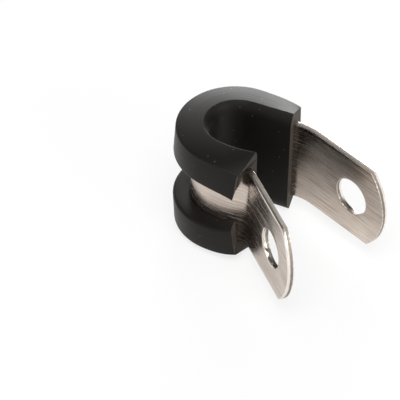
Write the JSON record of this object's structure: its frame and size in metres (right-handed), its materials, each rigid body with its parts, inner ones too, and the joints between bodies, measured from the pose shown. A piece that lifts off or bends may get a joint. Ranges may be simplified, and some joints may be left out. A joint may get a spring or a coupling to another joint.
{
  "type": "rubber-lined p clip",
  "caption": "P clip for one pipe or cable: a stainless strip folded into a loop with two drilled tabs, lined with black rubber.",
  "frame": {"origin": "middle of the loop, on its axis and half way across the strip", "axes": "+Z along the loop's axis, which stands upright when the clip stands on its side; +X from the loop along the flat of the base tab; +Y out of the base tab's outer face"},
  "size_m": [0.0336, 0.0226, 0.0202],
  "materials": {
    "band": "rolled stainless strip with fine lengthwise grain and sheared edges",
    "liner": "matt extruded rubber with knife-cut ends"
  },
  "bodies": {
    "root": {"band": "band", "liner": "liner"}
  },
  "joints": []
}
